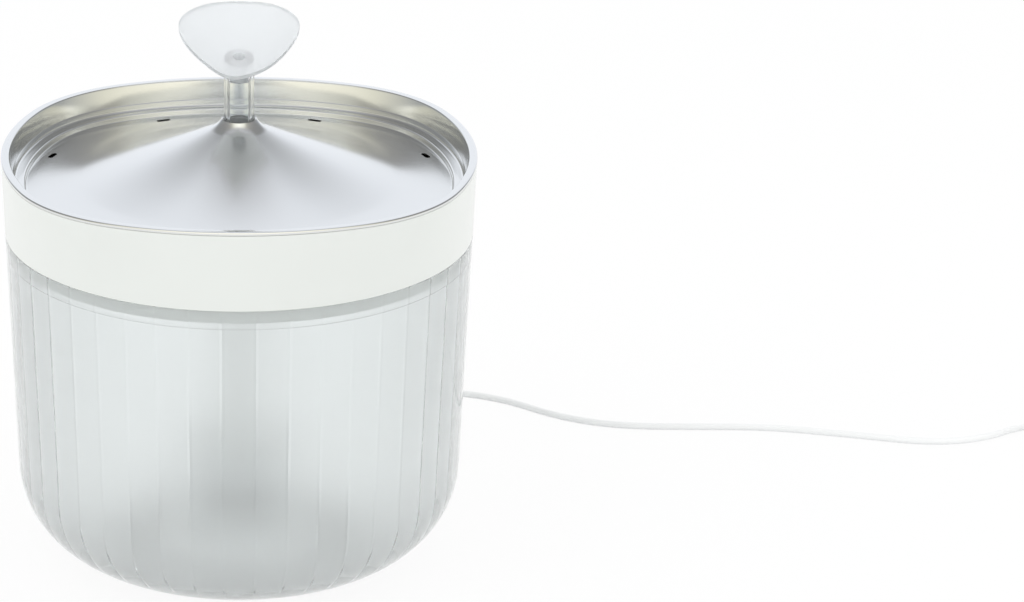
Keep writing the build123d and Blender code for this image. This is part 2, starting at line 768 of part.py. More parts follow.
def make_grommet():
    half = notch_width / 2 - 0.1
    low = bowl_rim_height
    high = bowl_rim_height + notch_height - 0.2
    inner = skirt_inside - 2 * fit_gap - grommet_plate
    outer = grommet_outside
    core = block(-half, half, inner, outer, low, high - half)
    arch = (Pos(0, outer, high - half) * Rot(90, 0, 0) * extrude(Circle(half), outer - inner))
    body = core + (arch & block(-half, half, inner, outer, low, high))
    reach = half + grommet_flange
    flange = block(-reach, reach, outer, outer + grommet_flange, low, high + 1.2)
    inside_flange = block(-reach, reach, inner, inner + grommet_plate, low + fit_gap,
                          high - fit_gap)
    relief_profile = Polyline((0, 0), (relief_root_radius, 0), (relief_tip_radius, relief_length),
                              (0, relief_length), close=True)
    relief = revolve(Rot(90, 0, 0) * make_face(relief_profile), Axis.Z)
    body += flange + inside_flange
    body += Pos(0, outer, cord_exit_z) * Rot(-90, 0, 0) * relief
    bore = (Pos(0, grommet_back + 1, cord_exit_z) * Rot(90, 0, 0)
            * extrude(Circle(cord_radius + lead_gap), grommet_back + 2 - inner))
    return body - bore


def make_coil():
    """Outer shape of the wound cord, with the two short leads that run off it."""
    outer = coil_mean_radius + coil_wide / 2
    inner = coil_mean_radius - coil_wide / 2
    body = ring(outer, inner, tie_thickness, tie_thickness + coil_high)
    body = fillet(body.edges().filter_by(GeomType.CIRCLE), 0.5 * cord_radius)
    body = Pos(coil_x, coil_y, 0) * body
    body += (Pos(coil_start_x, coil_start_y, coil_start_z) * Rot(0, 90, 0)
             * extrude(Circle(cord_radius), coil_lead))
    body += (Pos(tail_x, tail_start_y, tail_start_z) * Rot(-90, 0, 0)
             * extrude(Circle(cord_radius), coil_lead))
    return body


def make_tie(coil):
    """Strap round the turns, on the side of the coil towards the fountain."""
    reach = coil_wide / 2 + tie_thickness
    strap = block(-reach, reach, -tie_width / 2, tie_width / 2, 0,
                  coil_high + 2 * tie_thickness)
    return Pos(coil_x - coil_mean_radius, coil_y, 0) * strap - coil


def make_plug():
    """Moulded body with its strain relief, steel shell and contact tongue."""
    back = plug_start_y - plug_relief
    front = back - plug_length
    middle = Pos(tail_x + tail_swing, 0, plug_height / 2) * Rot(90, 0, 0)
    outline = RectangleRounded(plug_width, plug_height, plug_height * 0.3)
    body = middle * Pos(0, 0, -back) * extrude(outline, plug_length)
    body = fillet(body.edges().group_by(Axis.Y)[-1] + body.edges().group_by(Axis.Y)[0], 1.0)
    profile = Polyline((0, 0), (relief_tip_radius, 0), (0.45 * plug_height, plug_relief),
                       (0, plug_relief), close=True)
    relief = revolve(Rot(90, 0, 0) * make_face(profile), Axis.Z)
    body += middle * Pos(0, 0, -plug_start_y) * relief
    shell = RectangleRounded(shell_width, shell_height, 0.6)
    hollow = RectangleRounded(shell_width - 2 * shell_wall, shell_height - 2 * shell_wall, 0.4)
    shell_place = middle * Pos(0, 0, -front)
    steel_shell = shell_place * (extrude(shell, shell_length) - extrude(hollow, shell_length))
    tongue = Rectangle(shell_width - 2 * shell_wall - 1.0, 1.8)
    tongue_high = shell_height / 2 - shell_wall - 0.9
    contacts = shell_place * Pos(0, tongue_high, 0) * extrude(tongue, shell_length - 1.0)
    return body, steel_shell, contacts


# ---- Build and write -------------------------------------------------------------------------

os.makedirs("parts", exist_ok=True)

save("bowl", make_bowl())
save("foot_ring", make_foot_ring())
save("collar", make_collar())
save("filter_deck", make_filter_deck())
filter_frame, carbon_pack, filter_foam, filter_lid = make_filter()
save("filter_frame", filter_frame)
save("carbon_pack", carbon_pack)
save("filter_foam", filter_foam)
save("filter_lid", filter_lid)
drinking_tray, lip_z = make_tray()
save("drinking_tray", drinking_tray)
save("tray_bush", make_tray_bush(drinking_tray, lip_z))
save("spout_stem", make_stem())
save("leaf_spout", make_leaf())
save("riser_tube", make_riser())
save("pump_body", make_pump_body())
save("volute_cover", make_volute_cover())
save("cover_seal", lay(ring(chamber_radius + 2.4, chamber_radius + 1.2, front_face,
                            front_face + 0.8)))
save("impeller_shaft", lay(disc(shaft_radius, front_face - bush_length,
                                well_end + bush_length)))
save("shaft_bushes", make_shaft_bushes())
save("impeller", make_impeller())
save("rotor_magnet", make_magnet())
stator_core, stator_coils = make_stator()
save("stator_core", stator_core)
save("stator_coils", stator_coils)
save("driver_board", make_driver_board())
save("back_cover", make_back_cover())
save("suction_cups", make_suction_cups())
save("intake_cap", make_intake_cap())
save("intake_foam", make_intake_foam())
save("flow_slider", make_flow_slider())
save("pump_lead", tube_along("pump_lead", lead_route, cord_radius))
save("cable_grommet", make_grommet())
save("power_cord", tube_along("power_cord", cord_route, cord_radius))
cord_coil = make_coil()
save("cord_coil", cord_coil)
save("cord_tie", make_tie(cord_coil))
save("cord_tail", tube_along("cord_tail", tail_route, cord_radius))
plug_body, plug_shell, plug_tongue = make_plug()
save("usb_plug_body", plug_body)
save("usb_plug_shell", plug_shell)
save("usb_plug_tongue", plug_tongue)
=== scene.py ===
import math

import bmesh
import bpy
from bpy.props import FloatProperty, FloatVectorProperty, IntProperty, PointerProperty
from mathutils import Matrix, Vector


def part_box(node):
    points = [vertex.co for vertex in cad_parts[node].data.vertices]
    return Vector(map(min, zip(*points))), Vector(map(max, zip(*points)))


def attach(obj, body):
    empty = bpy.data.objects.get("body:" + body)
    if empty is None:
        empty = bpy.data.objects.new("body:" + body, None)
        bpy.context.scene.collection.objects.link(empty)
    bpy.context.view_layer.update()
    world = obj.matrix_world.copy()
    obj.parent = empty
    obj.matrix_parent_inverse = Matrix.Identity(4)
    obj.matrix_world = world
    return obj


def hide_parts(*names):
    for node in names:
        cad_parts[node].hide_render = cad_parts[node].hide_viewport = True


bl_info = {
    "name": "Pet water fountain",
    "version": (1, 0, 0),
    "blender": (4, 5, 0),
    "location": "View3D > Sidebar > Fountain",
    "description": "Builds the looks of a pet water fountain round its packed frame",
    "category": "Object",
}

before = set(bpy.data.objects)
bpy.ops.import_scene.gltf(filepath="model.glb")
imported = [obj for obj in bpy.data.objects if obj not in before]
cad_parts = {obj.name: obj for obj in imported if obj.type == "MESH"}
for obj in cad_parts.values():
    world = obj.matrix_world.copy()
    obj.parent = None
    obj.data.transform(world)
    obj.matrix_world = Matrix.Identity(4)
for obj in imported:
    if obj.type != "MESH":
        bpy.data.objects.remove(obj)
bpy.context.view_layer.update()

MM = 0.001
BOWL_LOW, BOWL_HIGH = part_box("bowl")
COLLAR_LOW, COLLAR_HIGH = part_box("collar")
TRAY_LOW, TRAY_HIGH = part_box("drinking_tray")


# ---- Colours and node helpers ----


def linear(code):
    """Linear colour of an sRGB hex code such as #F1F2EE."""
    channels = [int(code[i:i + 2], 16) / 255 for i in (1, 3, 5)]
    return tuple(c / 12.92 if c <= 0.04045 else ((c + 0.055) / 1.055) ** 2.4
                 for c in channels) + (1.0,)


def darker(colour, share):
    """The colour with this share of its light."""
    return tuple(c * share for c in colour[:3]) + (1.0,)


def add_node(tree, kind, inputs=None, stops=(), **settings):
    """Adds a node, sets its settings and colour stops, and fills or links its inputs."""
    node = tree.nodes.new(kind)
    for key, value in settings.items():
        setattr(node, key, value)
    for key, value in (inputs or {}).items():
        if isinstance(value, bpy.types.NodeSocket):
            tree.links.new(value, node.inputs[key])
        else:
            node.inputs[key].default_value = value
    elements = node.color_ramp.elements if stops else []
    while len(elements) < len(stops):
        elements.new(0.5)
    for element, (position, colour) in zip(elements, stops):
        element.position = position
        element.color = colour
    return node


def new_material(name, colour, **values):
    """Material with one Principled shader; the values go on its own sockets."""
    material = bpy.data.materials.new(name)
    material.use_nodes = True
    tree = material.node_tree
    shader = tree.nodes["Principled BSDF"]
    shader.inputs["Base Color"].default_value = colour
    for key, value in values.items():
        shader.inputs[key.replace("_", " ")].default_value = value
    return material, tree, shader


def around_axis(tree, vector):
    """Parts of a place or direction, and its angle round the upright axis in radians."""
    parts = add_node(tree, "ShaderNodeSeparateXYZ", {0: vector}).outputs
    angle = add_node(tree, "ShaderNodeMath", {0: parts["X"], 1: parts["Y"]},
                     operation="ARCTAN2")
    return parts, angle.outputs[0]


def grain(tree, size, stretch=(1, 1, 1), detail=2.0):
    """Pattern whose grain has this size in metres, drawn out where the stretch is under 1."""
    spot = add_node(tree, "ShaderNodeTexCoord").outputs["Object"]
    drawn = add_node(tree, "ShaderNodeMapping", {"Vector": spot, "Scale": stretch})
    noise = add_node(tree, "ShaderNodeTexNoise", {"Vector": drawn.outputs["Vector"],
                                                  "Scale": 1 / size, "Detail": detail})
    return noise.outputs["Fac"]


def work_in(tree, shader, pattern, relief=None, roughness=None):
    """Works a pattern into a surface: as relief (height, strength), as a roughness range."""
    if relief:
        raised = add_node(tree, "ShaderNodeBump",
                          {"Height": pattern, "Distance": relief[0], "Strength": relief[1]})
        tree.links.new(raised.outputs["Normal"], shader.inputs["Normal"])
    if roughness:
        rough = add_node(tree, "ShaderNodeMapRange",
                         {"Value": pattern, "To Min": roughness[0], "To Max": roughness[1]})
        tree.links.new(rough.outputs["Result"], shader.inputs["Roughness"])


# ---- Outlines and solids of one section ----


RIM_CORNER_GAIN = 0.0555   # how much further out the rim's corners reach than its flats
RIM_SIDE_BULGE = 0.368     # side arcs: centre offset over half width
CORNER_CENTRE = (RIM_CORNER_GAIN * (2 * RIM_SIDE_BULGE - RIM_CORNER_GAIN)
                 / ((2 - math.sqrt(2)) * RIM_SIDE_BULGE - 2 * RIM_CORNER_GAIN))


def side_to_corner():
    """Angle from the middle of a side to where its arc meets the corner's arc."""
    across = CORNER_CENTRE / math.sqrt(2)
    along = across + RIM_SIDE_BULGE
    reach = (1 + RIM_SIDE_BULGE) / math.hypot(across, along)
    return math.atan2(across * reach, along * reach - RIM_SIDE_BULGE)


SIDE_ANGLE = side_to_corner()
ROUND_POINTS = 288         # points round the collar and the tray


def sine(degrees):
    """Sine of an angle in degrees."""
    return math.sin(math.radians(degrees))


def cosine(degrees):
    """Cosine of an angle in degrees."""
    return math.cos(math.radians(degrees))


def squared(angle):
    """Reach of the squared outline over its half width: four side arcs and four corner arcs."""
    turn = (angle + math.pi / 4) % (math.pi / 2) - math.pi / 4
    if abs(turn) <= SIDE_ANGLE:
        return (-RIM_SIDE_BULGE * math.cos(turn)
                + math.sqrt((1 + RIM_SIDE_BULGE) ** 2 - (RIM_SIDE_BULGE * math.sin(turn)) ** 2))
    off = math.pi / 4 - abs(turn)
    radius = 1 + RIM_CORNER_GAIN - CORNER_CENTRE
    return (CORNER_CENTRE * math.cos(off)
            + math.sqrt(radius ** 2 - (CORNER_CENTRE * math.sin(off)) ** 2))


def bend(centre, radius, start, end, steps):
    """Points (radius, height) of an arc between two angles in degrees."""
    points = []
    for i in range(steps + 1):
        angle = math.radians(start + (end - start) * i / steps)
        points.append((centre[0] + radius * math.cos(angle), centre[1] + radius * math.sin(angle)))
    return points


def rounded(points, radii, steps=4):
    """Open line of (x, y) points with its inner corners rounded to the given radii."""
    result = [points[0]]
    most = 0.49   # share of a side that one corner may take, so that two never meet
    for before, corner, after, radius in zip(points, points[1:], points[2:], radii):
        corner = Vector(corner)
        back = Vector(before) - corner
        ahead = Vector(after) - corner
        if radius <= 0:
            result.append(tuple(corner))
            continue
        half = back.angle(ahead) / 2
        reach = min(radius / math.tan(half), most * back.length, most * ahead.length)
        start = corner + back.normalized() * reach
        end = corner + ahead.normalized() * reach
        for i in range(steps + 1):
            t = i / steps
            point = start * (1 - t) ** 2 + corner * 2 * t * (1 - t) + end * t ** 2
            result.append(tuple(point))
    result.append(points[-1])
    return result


def turned(name, section, count, reach=None, closed=True):
    """Mesh turned about the axis from (half width, height, squareness) points.

    reach(angle, point) may give the half width at an angle; a half width of 0 is the axis.
    """
    vertices = []
    rows = []
    for point in section:
        if point[0] == 0:
            rows.append([len(vertices)] * count)
            vertices.append((0, 0, point[1]))
            continue
        row = []
        for k in range(count):
            angle = 2 * math.pi * k / count
            half = reach(angle, point) if reach else point[0]
            half *= 1 + point[2] * (squared(angle) - 1)
            row.append(len(vertices))
            vertices.append((half * math.sin(angle), half * math.cos(angle), point[1]))
        rows.append(row)
    faces = []
    for low, high in zip(rows, rows[1:] + rows[:1] if closed else rows[1:]):
        for k in range(count):
            following = (k + 1) % count
            corners = [low[k], low[following], high[following], high[k]]
            face = list(dict.fromkeys(corners))
            if len(face) > 2:
                faces.append(face)
    return make_piece(name, vertices, faces)


def prism_faces(first, count):
    """Sides and ends of a prism between two rings of vertices that stand one after the other."""
    last = first + 2 * count - 1
    faces = [list(range(first, first + count)), list(range(last, last - count, -1))]
    for i in range(count):
        following = (i + 1) % count
        faces.append([first + i, first + following, first + count + following,
                      first + count + i])
    return faces


def make_piece(name, vertices, faces, smooth=True):
    """Mesh object of these faces, with their normals pointing out."""
    mesh = bpy.data.meshes.new(name)
    mesh.from_pydata(vertices, [], faces)
    work = bmesh.new()
    work.from_mesh(mesh)
    bmesh.ops.recalc_face_normals(work, faces=work.faces)
    work.to_mesh(mesh)
    work.free()
    mesh.polygons.foreach_set("use_smooth", [smooth] * len(mesh.polygons))
    piece = bpy.data.objects.new(name, mesh)
    bpy.context.scene.collection.objects.link(piece)
    return piece


def dress(piece, *materials):
    """Gives a piece these materials and no others."""
    piece.data.materials.clear()
    for material in materials:
        piece.data.materials.append(material)


def finish_piece(piece, body, nodes):
    """Lets a piece ride on its body in place of the solids that it stands for."""
    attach(piece, body)
    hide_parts(*nodes)


def finish_node(name, material):
    """Gives a carried-over solid its material."""
    dress(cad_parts[name], material)


def cut(piece, cutter):
    """Takes the cutter's volume out of the piece for good."""
    modifier = piece.modifiers.new("cut", "BOOLEAN")
    modifier.object = cutter
    modifier.operation = "DIFFERENCE"
    modifier.solver = "EXACT"
    bpy.context.view_layer.update()
    graph = bpy.context.evaluated_depsgraph_get()
    mesh = bpy.data.meshes.new_from_object(piece.evaluated_get(graph))
    piece.modifiers.clear()
    old = piece.data
    piece.data = mesh
    bpy.data.meshes.remove(old)
    bpy.data.objects.remove(cutter)


def smooth_by_angle(piece, degrees):
    """Smooth shading with the edges over this angle kept sharp."""
    mesh = piece.data
    mesh.polygons.foreach_set("use_smooth", [True] * len(mesh.polygons))
    work = bmesh.new()
    work.from_mesh(mesh)
    limit = math.radians(degrees)
    for edge in work.edges:
        edge.smooth = len(edge.link_faces) != 2 or edge.calc_face_angle(0) < limit
    work.to_mesh(mesh)
    work.free()


# ---- Settings ----


class FountainStage(bpy.types.PropertyGroup):
    camera_distance: FloatProperty(name="Camera distance", unit="LENGTH", default=1.6,
                                   description="How far in front of the axis the camera stands")
    camera_height: FloatProperty(name="Camera height", unit="LENGTH", default=0.7246,
                                 description="Height of the camera over the floor")
    camera_tilt: FloatProperty(name="Camera tilt", default=21.15,
                               description="Degrees that the camera looks down")
    lens: FloatProperty(name="Lens", default=149.17, description="Focal length in millimetres")
    axis_pixel: FloatProperty(name="Axis place", default=239.11,
                              description="Where the fountain's axis stands in the picture")
    world_strength: FloatProperty(name="World strength", default=1.0,
                                  description="Level of the soft light from all round")
    mirror_strength: FloatProperty(name="Mirrored strength", default=1.6,
                                   description="Level of the studio that the gloss mirrors")
    mirrored_white: FloatProperty(name="White in mirrors", default=0.92,
                                  description="Level of the white seen through clear parts "
                                              "that the steel mirrors")
    key_power: FloatProperty(name="Key lamp", default=6.0, unit="POWER",
                             description="Power of the large lamp above the front left")
    fill_power: FloatProperty(name="Fill lamp", default=3.0, unit="POWER",
                              description="Power of the large lamp at the right")
    floor_colour: FloatVectorProperty(name="Floor", subtype="COLOR", size=4,
                                      default=linear("#F4F5F5"),
                                      description="Colour of the pale floor")


class FountainBowl(bpy.types.PropertyGroup):
    rim_radius: FloatProperty(name="Rim radius", unit="LENGTH", default=BOWL_HIGH.x,
                              description="Outer radius of the bowl at its rim")
    wall: FloatProperty(name="Wall", unit="LENGTH", default=2.4 * MM,
                        description="Thickness of the bowl's wall")
    floor: FloatProperty(name="Floor", unit="LENGTH", default=3.0 * MM,
                         description="Thickness of the bowl's floor")
    base_rounding: FloatProperty(name="Base rounding", unit="LENGTH", default=38 * MM,
                                 description="Radius between the wall and the base")
    draft: FloatProperty(name="Draft", default=2.2, description="Degrees that the wall leans out")
    flutes: IntProperty(name="Flutes", default=44, description="Flat flutes round the inside")
    tint: FloatVectorProperty(name="Tint", subtype="COLOR", size=4, default=linear("#FCFFFF"),
                              description="Colour of the clear plastic")
    frosting: FloatProperty(name="Frosting", default=0.46,
                            description="Roughness of the frosted inside")


class FountainCollar(bpy.types.PropertyGroup):
    wall: FloatProperty(name="Wall", unit="LENGTH", default=2.0 * MM,
                        description="Thickness of the collar's wall")
    colour: FloatVectorProperty(name="Colour", subtype="COLOR", size=4,
                                default=linear("#E3E6E2"), description="Moulded white")


class FountainTray(bpy.types.PropertyGroup):
    bead: FloatProperty(name="Bead", unit="LENGTH", default=3.4 * MM,
                        description="Width of the rolled bead")
    sheet: FloatProperty(name="Sheet", unit="LENGTH", default=0.7 * MM,
                         description="Thickness of the drawn sheet")
    wall_lean: FloatProperty(name="Wall lean", unit="LENGTH", default=1.3 * MM,
                             description="How far the wall comes in from the bead to its crease")
    crease_drop: FloatProperty(name="Crease", unit="LENGTH", default=8.1 * MM,
                               description="Depth of the wall's crease under the bead's top")
    crease_step: FloatProperty(name="Crease step", unit="LENGTH", default=0.35 * MM,
                               description="Step of the wall at its crease")
    ledge_bend: FloatProperty(name="Ledge bend", unit="LENGTH", default=2.45 * MM,
                              description="Radius between the wall and the ledge")
    ledge_width: FloatProperty(name="Ledge", unit="LENGTH", default=1.5 * MM,
                               description="Width of the ledge round the dish")
    cone_foot: FloatProperty(name="Cone foot", unit="LENGTH", default=80.85 * MM,
                             description="Radius where the cone meets the dish floor")
    run_out: FloatProperty(name="Run-out", unit="LENGTH", default=60 * MM,
                           description="Radius of the bend at the cone's foot")
    flank_foot_slope: FloatProperty(name="Flank foot slope", default=17.0,
                                    description="Degrees, of the flank at its foot")
    flank_top_slope: FloatProperty(name="Flank top slope", default=25.0,
                                   description="Degrees, of the flank below its flare")
    flare: FloatProperty(name="Flare", unit="LENGTH", default=10.85 * MM,
                         description="Radius of the bend up to the lip")
    lip_slope: FloatProperty(name="Lip slope", default=60.0,
                             description="Degrees, of the sheet at the lip")
    lip_radius: FloatProperty(name="Lip radius", unit="LENGTH", default=7.006 * MM,
                              description="Radius of the hole round the stem")
    drains: IntProperty(name="Drains", default=8, description="Slots in the dish floor")
    drain_length: FloatProperty(name="Drain length", unit="LENGTH", default=6.0 * MM,
                                description="Length of a drain slot")
    drain_width: FloatProperty(name="Drain width", unit="LENGTH", default=2.2 * MM,
                               description="Width of a drain slot")
    drain_radius: FloatProperty(name="Drain place", unit="LENGTH", default=82.2 * MM,
                                description="Radius of the slots' middle line")
    colour: FloatVectorProperty(name="Colour", subtype="COLOR", size=4,
                                default=linear("#E4E5E4"), description="Stainless steel")
    wall_roughness: FloatProperty(name="Wall roughness", default=0.12,
                                  description="Roughness of the polished wall and bead")
    dish_roughness: FloatProperty(name="Dish roughness", default=0.18,
                                  description="Roughness of the satin dish and cone")


class FountainSpout(bpy.types.PropertyGroup):
    colour: FloatVectorProperty(name="Colour", subtype="COLOR", size=4,
                                default=linear("#FAFCFD"), description="Clear plastic")
    leaf_colour: FloatVectorProperty(name="Leaf colour", subtype="COLOR", size=4,
                                     default=linear("#F8FBFD"), description="Satin clear plastic")


class FountainCord(bpy.types.PropertyGroup):
    diameter: FloatProperty(name="Diameter", unit="LENGTH", default=2.9 * MM,
                            description="Thickness of the cord")
    colour: FloatVectorProperty(name="Colour", subtype="COLOR", size=4,
                                default=linear("#F2F3F3"), description="Soft white sheath")


# ---- Materials ----


def moulded_white_abs(colour):
    """ABS, injection moulded and polished: a bright gloss coat over an even warm white."""
    material, tree, shader = new_material("moulded_white_abs", colour, Roughness=0.28,
                                          IOR=1.53, Coat_Weight=0.35, Coat_Roughness=0.06)
    work_in(tree, shader, grain(tree, 60 * MM, detail=1.0), relief=(0.15 * MM, 0.25))
    shade = add_node(tree, "ShaderNodeValToRGB", {"Fac": grain(tree, 25 * MM)},
                     stops=[(0.3, darker(colour, 0.985)), (0.7, colour)])
    tree.links.new(shade.outputs["Color"], shader.inputs["Base Color"])
    return material


def clear_outer_bowl(colour):
    """Milky styrene, injection moulded against a polished mould: pale and glossy outside."""
    material, tree, shader = new_material("polished_styrene_outside", colour, Roughness=0.06,
                                          IOR=1.45, Transmission_Weight=0.8)
    work_in(tree, shader, grain(tree, 45 * MM, detail=1.0), relief=(0.1 * MM, 0.2))
    return material


def frosted_inner_bowl(colour, frosting, flutes):
    """The same plastic against a blasted mould: frosted, with the fine ridges of its flutes."""
    material, tree, shader = new_material("blasted_styrene_inside", colour, IOR=1.45,
                                          Transmission_Weight=0.97)
    spot = add_node(tree, "ShaderNodeTexCoord").outputs["Object"]
    angle = around_axis(tree, spot)[1]
    turns = add_node(tree, "ShaderNodeMath", {0: angle, 1: flutes / (2 * math.pi)},
                     operation="MULTIPLY")
    across = add_node(tree, "ShaderNodeMath", {0: turns.outputs[0], 1: 0.5},
                      operation="PINGPONG")
    ridge = add_node(tree, "ShaderNodeMapRange",
                     {"Value": across.outputs[0], "From Min": 0.42, "From Max": 0.5})
    # The blasted grain is about 0.1 mm; it is drawn four times as coarse so that it shows.
    rough = add_node(tree, "ShaderNodeMapRange", {"Value": grain(tree, 0.4 * MM),
                                                  "To Min": frosting * 0.9,
                                                  "To Max": frosting * 1.1})
    # The ridges are rubbed a little smoother than the flats between them.
    rubbed = add_node(tree, "ShaderNodeMath", {0: ridge.outputs["Result"], 1: -0.35 * frosting,
                                               2: rough.outputs["Result"]},
                      operation="MULTIPLY_ADD")
    tree.links.new(rubbed.outputs[0], shader.inputs["Roughness"])
    work_in(tree, shader, ridge.outputs["Result"], relief=(0.16 * MM, 0.7))
    return material


def drawn_steel(name, colour, roughness, grain_size):
    """Stainless sheet, deep drawn: a fine rolled grain that smears its highlights."""
    material, tree, shader = new_material(name, colour, Metallic=1.0, Roughness=roughness)
    # The rolled grain is some 0.05 mm wide; it is drawn coarser so that it shows.
    streaks = grain(tree, grain_size, stretch=(0.04, 1, 1), detail=4.0)
    work_in(tree, shader, streaks, (0.006 * MM, 0.35), (roughness * 0.8, roughness * 1.2))
    return material


def clear_acrylic(name, colour, roughness, clearness):
    """Acrylic, injection moulded, with the faint waves of its mould; misty where less clear."""
    material, tree, shader = new_material(name, colour, Roughness=roughness, IOR=1.49,
                                          Transmission_Weight=clearness)
    work_in(tree, shader, grain(tree, 14 * MM, detail=1.0), relief=(0.08 * MM, 0.2))
    return material


def moulded_plastic(name, colour, roughness):
    """Housing plastic, injection moulded: a dull skin from the mould's spark-eroded texture."""
    material, tree, shader = new_material(name, colour, Roughness=roughness, IOR=1.5)
    # The pits are about 0.1 mm wide; they are drawn at 0.5 mm so that they show.
    work_in(tree, shader, grain(tree, 0.5 * MM), (0.03 * MM, 0.3),
            (roughness * 0.85, roughness * 1.15))
    return material


def open_cell_foam(name, colour, cell):
    """Reticulated foam or pressed granules: a rough surface of small cells, with painted shade
    darkening each cell towards its edges.
    """
    material, tree, shader = new_material(name, colour, Roughness=0.9)
    spot = add_node(tree, "ShaderNodeTexCoord").outputs["Object"]
    cells = add_node(tree, "ShaderNodeTexVoronoi",
                     {"Vector": spot, "Scale": 1 / cell}).outputs["Distance"]
    # Painted shade: each cell keeps its colour in its middle and darkens towards its edges, where
    # its hollows would lie in shade.
    shade = add_node(tree, "ShaderNodeValToRGB", {"Fac": cells},
                     stops=[(0.1, colour), (0.8, darker(colour, 0.55))])
    tree.links.new(shade.outputs["Color"], shader.inputs["Base Color"])
    work_in(tree, shader, cells, relief=(0.5 * MM, 0.8))
    return material


def soft_rubber(name, colour, roughness=0.55):
    """Moulded silicone or extruded PVC: a soft, dull skin with a faint sheen."""
    material, tree, shader = new_material(name, colour, Roughness=roughness, Sheen_Weight=0.15,
                                          Sheen_Roughness=0.4)
    # The skin's unevenness is finer than this; it is drawn at 0.8 mm so that it shows.
    work_in(tree, shader, grain(tree, 0.8 * MM), (0.02 * MM, 0.3),
            (roughness * 0.85, roughness * 1.1))
    return material


def plain_metal(name, colour, roughness):
    """Ground, stamped or plated metal: its fine working grain spreads the highlights."""
    material, tree, shader = new_material(name, colour, Metallic=1.0, Roughness=roughness)
    # The scratches are some 0.05 mm wide; they are drawn at 0.5 mm so that they show.
    scratches = grain(tree, 0.5 * MM, stretch=(1, 0.1, 1), detail=3.0)
    work_in(tree, shader, scratches, roughness=(roughness * 0.8, roughness * 1.25))
    return material


# ---- Bowl ----


def bowl_section(settings):
    """Section of the bowl, from the middle of its base round its rim to its floor.

    The number given with it says where the cavity's points start.
    """
    groove_width = 6.0 * MM
    seat_width, seat_depth, seat_ledge = 2.1 * MM, 8.0 * MM, 0.6 * MM
    rim_edge, seat_edge = 0.4 * MM, 0.3 * MM
    under_rim, lean_under_rim = 4 * MM, 0.04
    arc_steps = 28
    base, rim = BOWL_LOW.z, BOWL_HIGH.z
    slope = math.radians(settings.draft)
    centre_z = base + settings.base_rounding
    wall_at_arc = settings.rim_radius - (rim - centre_z) * math.tan(slope)
    centre = (wall_at_arc - settings.base_rounding / math.cos(slope), centre_z)
    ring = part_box("foot_ring")[1]
    groove_in = ring.x - groove_width
    outside = [(0, base), (groove_in, base), (groove_in, ring.z), (ring.x, ring.z), (ring.x, base)]
    outside += bend(centre, settings.base_rounding, -90, -settings.draft, arc_steps)
    outside += [(settings.rim_radius - lean_under_rim * (rim - base) * math.tan(slope),
                 rim - under_rim)]
    seat_radius, seat_z = settings.rim_radius - seat_width, rim - seat_depth
    edge = rounded([outside[-1], (settings.rim_radius, rim), (seat_radius, rim),
                    (seat_radius, seat_z), (seat_radius - seat_ledge, seat_z)],
                   [rim_edge, rim_edge, seat_edge])
    inner_arc = settings.base_rounding - settings.wall
    floor = base + settings.floor
    low_angle = -math.degrees(math.asin((centre_z - floor) / inner_arc))
    inside = bend(centre, inner_arc, -settings.draft, low_angle, arc_steps) + [(0, floor)]
    return outside[:-1] + edge + inside, len(outside) + len(edge) - 1


class FOUNTAIN_OT_bowl(bpy.types.Operator):
    """Build the clear bowl with its inside flutes, and finish its foot ring"""

    bl_idname = "fountain.bowl"
    bl_label = "Bowl"

    def execute(self, context):
        settings = context.scene.fountain_bowl
        section, inner_start = bowl_section(settings)
        facet = 2 * math.pi / settings.flutes
        points_per_flute = 8
        inner_points = set(section[inner_start:])

        def reach(angle, point):
            if point[:2] not in inner_points:
                return point[0]
            turn = (angle + facet / 2) % facet - facet / 2
            return point[0] / math.cos(turn)

        piece = turned("fluted_bowl", [(x, z, 0) for x, z in section],
                       settings.flutes * points_per_flute, reach, closed=False)
        dress(piece, clear_outer_bowl(settings.tint),
              frosted_inner_bowl(settings.tint, settings.frosting, settings.flutes))
        mark_inside(piece, settings)
        smooth_by_angle(piece, 25)
        finish_piece(piece, "root", ["bowl"])
        finish_node("foot_ring", soft_rubber("moulded_silicone", linear("#E9E9E4")))
        finish_node("suction_cups", soft_rubber("moulded_cup_silicone", linear("#D8DAD8")))
        return {"FINISHED"}


def mark_inside(piece, settings):
    """Gives the faces of the cavity the frosted material."""
    for face in piece.data.polygons:
        centre, normal = face.center, face.normal
        towards_axis = normal.x * centre.x + normal.y * centre.y < 0
        above_floor = centre.z > BOWL_LOW.z + 0.8 * settings.floor
        clear_of_rim = math.hypot(centre.x, centre.y) < settings.rim_radius * 0.9
        inside = towards_axis or (normal.z > 0.3 and clear_of_rim)
        face.material_index = 1 if inside and above_floor else 0


# ---- Collar and filter ----


